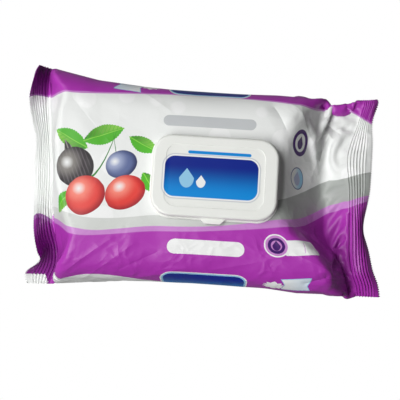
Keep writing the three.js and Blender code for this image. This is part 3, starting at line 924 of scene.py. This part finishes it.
def bands(paint, u, v):
    # The swooshes: grey, lilac and purple towards the near side, lilac and purple towards the far side.
    # Their edges are parabolas in u; each purple field ends a little way under the pack.
    plan = printPlan
    body, strip = u.most(0.0), (-u).most(0.0)
    right, left, corner = (u - 110).most(0.0).least(140.0), (110 - body).most(0.0), (60 - body).most(0.0)
    beyond = (u - film["length"]).most(0.0)
    edge = right * right * plan["nearRight"] + left * left * plan["nearLeft"]
    edge = edge - corner * corner * plan["nearCorner"] + beyond * plan["nearSeal"]
    near = v - edge - plan["nearLow"] - strip * plan["nearStrip"]
    grey = near - u.ramp(130, 250) * plan["greyGain"] - plan["grey"]
    hill = body.ramp(-30, 50) * body.ramp(172, 58) + (-u).ramp(0, 6) * 0.29
    under = hill * plan["hill"] - plan["wrap"]
    # The grey band, darker to the right; at the left end it fades towards white, a painted highlight where
    # the film's end catches the light.
    shade = u.ramp(90, 215).mix(inks["greyLeft"], inks["greyRight"])
    shade = (body.ramp(14, 44) * 0.7 + 0.3).mix(inks["film"], shade)
    # Darker inks on the left seal only: partly the deeper look of fused film, partly painted shade.
    leftSealShade = (-u).ramp(-0.5, 1.5)
    lilac = leftSealShade.mix(inks["lilac"], inks["lilacLeftSealShaded"])
    paint = grey.over(paint, shade, 0.4)
    paint = near.over(paint, lilac, 0.4)
    purple = (v + 30).ramp(0, -50).mix(inks["purple"], inks["purpleLow"])
    purple = leftSealShade.mix(purple, inks["purpleLeftSealShaded"])
    purpleEdge = near + u.ramp(150, 205) * plan["lilacGain"] + plan["lilac"]
    paint = purpleEdge.over(paint, purple, 0.6)
    paint = (v - under).over(paint, inks["film"], 0.5)
    middle, edgeLeft = u.most(8.0) - 140, (50 - u.most(8.0)).most(0.0)
    far = plan["farHigh"] - middle * middle * plan["farBow"] + edgeLeft * edgeLeft * plan["farCorner"]
    far = far + u.ramp(200, 262) * plan["farRise"] - v
    # The far bands take the same painted shade on the left seal.
    paint = far.over(paint, lilac, 0.4)
    paint = (far + plan["farLilac"]).over(paint, leftSealShade.mix(inks["purple"], inks["purpleLeftSealShaded"]), 0.4)
    return (plan["wrap"] - v).over(paint, inks["film"], 0.5)


# Fruits as middle, half sizes and turn; leaves as middle, size and turn; stems as start and end.
fruitPlan = {
    "leaves": (((50, 26), (25, 12), 158), ((71, 31), (29, 13), 22), ((97, 25), (22, 11), -32),
               ((48, -13), (20, 9), 230), ((102, -2), (18, 9), -62)),
    "stems": (((62, 2), (78, 29)), ((88, 4), (78, 29))), "stemWidth": 0.7,
    "fig": ((54, 9), (12.5, 12.5), 28), "neckTurn": 118, "plum": ((84, 12), (10, 9.2), 24),
    "cherries": (((88, -7), (12.2, 11.6), 0), ((63, -8), (12.8, 12), 8)),
}


def leaf(paint, u, v, centre, size, degrees):
    # A leaf: its edge is a parabola either side of the midrib with fine saw teeth; side veins slant
    # forwards.
    p, q = turned(u, v, centre, degrees)
    share = p / (size[0] / 2)
    teeth = abs((p * 0.6) % 1.0 - 0.5) * 0.9
    edge = abs(q) + teeth - (1 - share * share) * size[1] / 2
    veins = abs((p - abs(q) * 0.8) * 0.34 % 1.0 - 0.5) * 2.0
    face = (share * 0.5 + 0.5).mix(inks["leafDark"], inks["leafLit"])
    face = veins.ramp(0.72, 1.0).mix(face, inks["leaf"])
    face = q.ramp(0.1, 1.4).mix(inks["leaf"], face)
    face = (abs(q) - 0.22).over(face, inks["leafLit"])
    return edge.over(paint, face)


def globe(paint, u, v, centre, size, degrees, base, lit, shade):
    # A round fruit: an ellipse shaded from its lit upper left, with a glint and a darker rim.
    p, q = turned(u, v, centre, degrees)
    p, q = p / size[0], q / size[1]
    far = (p * p + q * q).root()
    lean = ((p + 0.32) * (p + 0.32) + (q - 0.36) * (q - 0.36)).root()
    face = lean.ramp(0.95, 0.1).mix(base, lit)
    face = (far - (q - p) * 0.12).ramp(0.6, 1.2).mix(face, shade)
    face = (lean - 0.18).over(face, inks["white"], 0.34)
    return ((far - 1) * min(size)).over(paint, face)


def stem(paint, u, v, start, end):
    # A stem: the strip round a parabola v = k (u - u0)^2 above its start, as far as its end.
    along = (u - start[0]) / (end[0] - start[0])
    line = along * along * (end[1] - start[1]) + start[1]
    distance = abs(v - line) * 0.75 - fruitPlan["stemWidth"]
    return distance.most(-along).most(along - 1).over(paint, inks["leafDark"])


def fruits(paint, u, v):
    # A fig, a plum and two cherries among leaves.
    for leafPlace in fruitPlan["leaves"]:
        paint = leaf(paint, u, v, *leafPlace)
    for ends in fruitPlan["stems"]:
        paint = stem(paint, u, v, *ends)
    fig = fruitPlan["fig"]
    p, q = turned(u, v, fig[0], fruitPlan["neckTurn"])
    streak = abs(q * 0.42 % 1.0 - 0.5).ramp(0.22, 0.5)
    neck = (abs(q) - (18.5 - p) * 0.46).most(5.0 - p)
    paint = neck.over(paint, streak.mix(inks["dark"], inks["darkLit"]), 0.5)
    skin = streak.mix(inks["dark"], inks["darkMid"])
    paint = globe(paint, u, v, *fig, skin, inks["darkLit"], inks["darkLow"])
    paint = globe(paint, u, v, *fruitPlan["plum"], inks["slate"], inks["slateLit"], inks["slateLow"])
    for cherry in fruitPlan["cherries"]:
        paint = globe(paint, u, v, *cherry, inks["coral"], inks["coralLit"], inks["coralLow"])
    return paint


def blueLabel(paint, u, v, centre, up):
    # A plain blue label: a white-edged rounded field, navy above and bright blue below.
    plate = box(u, v, centre, (27, 12.5), 6)
    face = ((v - centre[1]) * up).ramp(-9, 9).mix(inks["blue"], inks["navy"])
    paint = (plate - 2.0).over(paint, inks["white"])
    paint = (plate - 1.2).over(paint, inks["sky"])
    return plate.over(paint, face)


def flag(paint, u, v, centre, up):
    # A pale pennant with a notched end beside a splash, a ring of drops.
    p, q = turned(u, v, centre, 8 * up)
    pennant = (abs(q - (p * 0.16).sine() * 0.6) - 6.2).most(abs(p) - 9 + (6 - abs(q)).most(0.0) * 0.35)
    paint = (pennant - 0.5).over(paint, inks["sky"])
    paint = pennant.over(paint, (p * up).ramp(-12, 12).mix(inks["white"], inks["pale"]))
    x, y = u - centre[0] + 14.0 * up, v - centre[1] + 4.0 * up
    far = (x * x + y * y * 1.8).root()
    spikes = abs((x / (abs(y) + 1.2)) * 1.1 % 1.0 - 0.5) * 5.0
    return (far - 5.0 - spikes).over(paint, inks["white"])


def badges(paint, u, v):
    # The pills, the badge with its panel, the two rings, the labels and the flags.
    plan = printPlan
    paint = box(u, v, *plan["greyPill"]).over(paint, inks["pill"])
    paint = box(u, v, *plan["whitePill"]).over(paint, inks["white"])
    x, y = plan["panel"][0]
    wave = v - ((u - x) * 0.13).sine() * 0.9
    paint = box(u, wave, *plan["panel"]).over(paint, inks["white"])
    paint = (abs(u - x - 1.5) - 0.2).most(abs(v - y) - 3.6).over(paint, inks["lilac"])
    far = radius(u, v, plan["badge"])
    for reach, ink in ((8.1, "white"), (7.2, "lilac"), (5.6, "aubergine"), (3.6, "lilac")):
        paint = (far - reach).over(paint, inks[ink])
    paint = drop(u, v, plan["badge"], 2.6).over(paint, inks["aubergine"])
    far = radius(u, v, plan["ring"])
    paint = (abs(far - 7.9) - 1.5).over(paint, inks["aubergine"])
    paint = drop(u, v, plan["ring"], 3.4).over(paint, inks["aubergine"])
    far = radius(u, v, plan["dropRing"])
    paint = (far - 7.4).over(paint, (u - plan["dropRing"][0]).ramp(-5, 5).mix(inks["film"], inks["sky"]))
    paint = (abs(far - 7.4) - 0.35).over(paint, inks["slate"])
    paint = drop(u, v, plan["dropRing"], 3.6).over(paint, inks["slateLit"])
    for side, up in (("near", 1), ("far", -1)):
        paint = blueLabel(paint, u, v, plan[side + "Label"], up)
        paint = flag(paint, u, v, plan[side + "Flag"], up)
    return paint


# Creases in the film: start and end (u, v), half width and height; a valley is negative.
creases = (
    ((185.7, 57), (194.6, 42), 8, -1.3), ((214, -31), (252, -68), 6, 1.0),
    ((224, -30), (256, -50), 5, -0.7), ((60, -54), (84, -38), 4, 0.45), ((66, -68), (98, -44), 5, 0.45),
    ((90, -62), (114, -50), 4, -0.35), ((104, -72), (132, -62), 5, 0.4), ((150, -62), (178, -54), 4, 0.3),
    ((48, 52), (72, 30), 7, -0.3), ((60, 42), (76, 26), 5, 0.2), ((95, 64), (114, 50), 4, 0.3),
    ((236, 60), (250, 46), 5, 1.0), ((247, 46), (240, 22), 5, 0.9), ((262, 75), (235, 62), 5, -1.0),
    ((202, -46), (232, -60), 4, 0.5), ((196, 62), (226, 40), 7, 0.8), ((20, -40), (52, -70), 4, 0.6),
    ((267.4, -16), (267.4, -62), 3.2, -1.6), ((210, -67), (221, -60), 4, -0.8),
    ((221, -60), (263, -66), 5, -1.3), ((216, -75), (258, -77), 7, 1.3), ((244, 48), (256, 55), 4, 0.9),
    ((246, 55), (256, 50), 4, -0.8),
)
# Heights of the film's slack swells, of its broad and fine facets and of its grain; how far the facets
# are bent; and the pearl discs' spacing and radius.
crumple = {"swell": 3.0, "facet": 0.9, "sharp": 0.65, "grain": 0.03, "warp": 22.0, "pearl": (23.8, 8.5)}


def filmPrint():
    # White pearl film, printed in fields of colour. Its height is slack swells, the straight-sided facets
    # of crumpled film (the distance to the nearest of scattered points) and the longer creases above.
    material, wire, surface = newMaterial("printed_film")
    place, (u, v, none) = flatPlace(wire)
    spread, size = crumple["pearl"]
    paint = (place.cells(0.042, 0.7) * spread - size).over(inks["film"], inks["pearl"], 1.0)
    paint = badges(fruits(bands(paint, u, v), u, v), u, v)
    bend = place.noise(0.03)
    warp = place.noise(0.05, 1.0, 0.5, 1).scaled(crumple["warp"])
    bent = place.node("ShaderNodeVectorMath", {"operation": "ADD"}, {0: place, 1: warp})
    busy = ((v + 26).ramp(0, -22) + u.ramp(188, 205) + 0.22).least(1.0)
    facets = bent.cells(0.045) * crumple["facet"] + bent.cells(0.13) * crumple["sharp"] * bend.ramp(0.35, 0.6)
    height = place.noise(0.02, 1.5, 0.4) * crumple["swell"] + facets * busy
    height = height + place.noise(0.5, 3.0, 0.6) * crumple["grain"]
    for start, end, width, rise in creases:
        height = height + (1 - segment(u, v, start, end) / width).most(0.0) ** 1.6 * rise
    rough = 0.34 + bend * 0.1
    feed(surface, Base_Color=paint, Roughness=rough, Specular_IOR_Level=0.42, Normal=height.bump())
    return material


def plasticGrain(at):
    # The moulding's fine satin grain and slight sinks: a normal and a roughness.
    grain = at.noise(3.2, 3.0)
    sink = at.noise(0.035, 1.0)
    return (grain * 0.012 + sink * 0.3).bump(), 0.3 + grain * 0.1


# The label on the cover: a plate with two drops on it and a bar behind it, placed from its middle.
lidLabel = {
    "centre": (5.4, 2.2), "half": (32.5, 14.2), "corner": 7.0, "above": mouldingZ + 6.6,
    "bar": ((5, 17.4), (22, 1.1)), "drops": (((-17, -1), 5.0, "sky"), ((-7, -3), 3.2, "white")),
}


def labelPaint(paint, x, y, z):
    # The cover's paint with the label on its panel.
    place, bar = lidLabel["centre"], lidLabel["bar"]
    plate = box(x, y, place, lidLabel["half"], lidLabel["corner"])
    face = (y - place[1]).ramp(-12.5, 9).mix(inks["blue"], inks["navy"])
    label = (plate - 1.7).over(paint, colour(205, 208, 214), 0.9)
    label = (plate - 1.0).over(label, inks["white"])
    label = plate.over(label, face)
    for (alongX, alongY), size, ink in lidLabel["drops"]:
        label = drop(x, y, (place[0] + alongX, place[1] + alongY), size).over(label, inks[ink])
    barPlace = place[0] + bar[0][0], place[1] + bar[0][1]
    label = box(x, y, barPlace, bar[1], bar[1][1]).over(label, inks["blue"])
    return (z - lidLabel["above"]).ramp(0.0, 0.1).mix(paint, label)


def whitePlastic(labelled):
    # Slightly warm white moulding; the cover carries a plain blue label on its panel.
    material, wire, surface = newMaterial("labelled_moulding" if labelled else "white_moulding")
    at, (x, y, z) = objectPlace(wire)
    paint = at.noise(0.06).mix(colour(240, 242, 236), colour(246, 247, 243))
    if labelled:
        paint = labelPaint(paint, x, y, z)
    normal, rough = plasticGrain(at)
    feed(surface, Base_Color=paint, Roughness=rough, Specular_IOR_Level=0.45, Normal=normal)
    return material


def nonwoven():
    # Damp white nonwoven: matted fibres with an embossed lattice of dots.
    material, wire, surface = newMaterial("moist_nonwoven")
    at, (x, y, z) = objectPlace(wire)
    fibre = at.noise(1.6, 4.0, 0.7)
    lattice = (x * 1.5).sine() * (y * 1.5).sine()
    paint = fibre.mix(colour(226, 230, 230), colour(247, 249, 249))
    paint = lattice.ramp(0.55, 0.85).mix(paint, colour(222, 227, 229))
    height = fibre * 0.12 - lattice.ramp(0.4, 0.8) * 0.1
    feed(surface, Base_Color=paint, Roughness=0.62 + fibre * 0.2, Normal=height.bump())
    return material


def clearGlue():
    # Milky hot glue with a slight flow ripple.
    material, wire, surface = newMaterial("clear_glue")
    at, (x, y, z) = objectPlace(wire)
    cloud = at.noise(0.4, 3.0)
    paint = cloud.mix(colour(222, 216, 196), colour(238, 235, 224))
    feed(surface, Base_Color=paint, Roughness=0.22 + cloud * 0.15, Normal=(cloud * 0.2).bump())
    return material


# Pieces
filmMaterial, plasticMaterial = filmPrint(), whitePlastic(False)
coverMaterial, wipeMaterial = whitePlastic(True), nonwoven()
wrapper = filmWrapper(filmMaterial)
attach(wrapper, "pack")
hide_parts("film_wrapper")
print("film done")

cover = lidCover(coverMaterial)
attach(cover, "cover")
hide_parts("lid_cover")
base = lidBase(plasticMaterial)
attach(base, "pack")
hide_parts("lid_base")
for name, (x, width) in straps.items():
    strap = hingeStrap("strap_" + name, x, width, plasticMaterial)
    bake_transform(strap)
    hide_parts("hinge_strap_" + name)
print("lid done")

wipePile = wipeStack(wipeMaterial)
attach(wipePile, "pack")
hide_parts("wipe_stack")
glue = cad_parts["lid_adhesive"]
glue.data.materials.clear()
glue.data.materials.append(clearGlue())
print("wipes and glue done")


# Camera
# It looks down from 82 degrees, rolled a little, from 0.72 m; its lens is on a 36 mm wide sensor.
camera = {
    "elevation": 82.0, "roll": 3.6, "distance": 720.0, "target": (-1.354, -9.121, 30.0), "lens": 89.73,
    "sensor": 36,
}


def standAt(name, data, axes, spot):
    # A camera or light at this spot, turned to these axes; it looks along the last one, backwards.
    made = bpy.data.objects.new(name, data)
    turn = Matrix(np.stack(axes, 1).tolist()).to_4x4()
    made.matrix_world = Matrix.Translation(spot) @ turn
    bpy.context.scene.collection.objects.link(made)
    return made


def placeCamera():
    up, roll = math.radians(camera["elevation"]), math.radians(camera["roll"])
    back = np.array([0, -math.cos(up), math.sin(up)])
    upright = np.array([0, math.sin(up), math.cos(up)])
    right = np.array([math.cos(roll), 0, 0]) + math.sin(roll) * upright
    above = np.array([-math.sin(roll), 0, 0]) + math.cos(roll) * upright
    data = bpy.data.cameras.new("camera")
    data.lens = camera["lens"]
    data.sensor_width = camera["sensor"]
    data.clip_start = 0.01
    spot = (np.array(camera["target"]) + camera["distance"] * back) * 0.001
    bpy.context.scene.camera = standAt("camera", data, [right, above, back], spot.tolist())


# Light and floor
# Lights are in metres and watts; the floor's shade is what it gives back to the pack.
light = {
    "key": {"at": (-1.0, -0.45, 1.8), "size": (0.55, 2.8), "power": 50.0},
    "fill": {"at": (-1.2, 1.0, 0.9), "size": (1.2, 1.2), "power": 3.5},
    "sky": 0.06, "floor": 0.25, "floorHalf": 2000,
}


def addLight(name):
    # A soft box that faces the pack.
    values = light[name]
    data = bpy.data.lights.new(name, "AREA")
    data.shape = "RECTANGLE"
    data.size, data.size_y = values["size"]
    data.energy = values["power"]
    away = np.array(values["at"]) / np.linalg.norm(values["at"])
    side = np.cross([0, 1, 0.1], away)
    side /= np.linalg.norm(side)
    standAt(name, data, [side, np.cross(away, side), away], values["at"])


def whiteBehind(tree, output, kind, lit):
    # The camera sees plain white; everything else sees the lit surface or sky.
    path = tree.nodes.new("ShaderNodeLightPath")
    white = tree.nodes.new(kind)
    white.inputs[0].default_value = (1, 1, 1, 1)
    white.inputs[1].default_value = 1.0
    choose = tree.nodes.new("ShaderNodeMixShader")
    tree.links.new(path.outputs["Is Camera Ray"], choose.inputs[0])
    tree.links.new(lit.outputs[0], choose.inputs[1])
    tree.links.new(white.outputs[0], choose.inputs[2])
    tree.links.new(choose.outputs[0], tree.nodes[output].inputs["Surface"])


def setStage():
    for name in ("key", "fill"):
        addLight(name)
    world = bpy.data.worlds.new("world")
    world.use_nodes = True
    bpy.context.scene.world = world
    sky = world.node_tree.nodes["Background"]
    sky.inputs[0].default_value = (1, 1, 1, 1)
    sky.inputs[1].default_value = light["sky"]
    whiteBehind(world.node_tree, "World Output", "ShaderNodeBackground", sky)
    material, wire, surface = newMaterial("floor")
    shade, half = light["floor"], light["floorHalf"]
    feed(surface, Base_Color=(shade, shade, shade, 1), Roughness=0.9)
    whiteBehind(wire.tree, "Material Output", "ShaderNodeEmission", surface)
    corners = np.array([[-1, -1, 0], [1, -1, 0], [1, 1, 0], [-1, 1, 0]], float) * half
    floor = makeObject("floor", corners, [np.array([[0, 1, 2, 3]])], material)
    floor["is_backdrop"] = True


placeCamera()
setStage()
bpy.context.scene.view_settings.view_transform = "Standard"
print("stage done")

sizes = {"packed": packedBounds, "shown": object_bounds()}
json.loads(json.dumps(sizes, default=list))
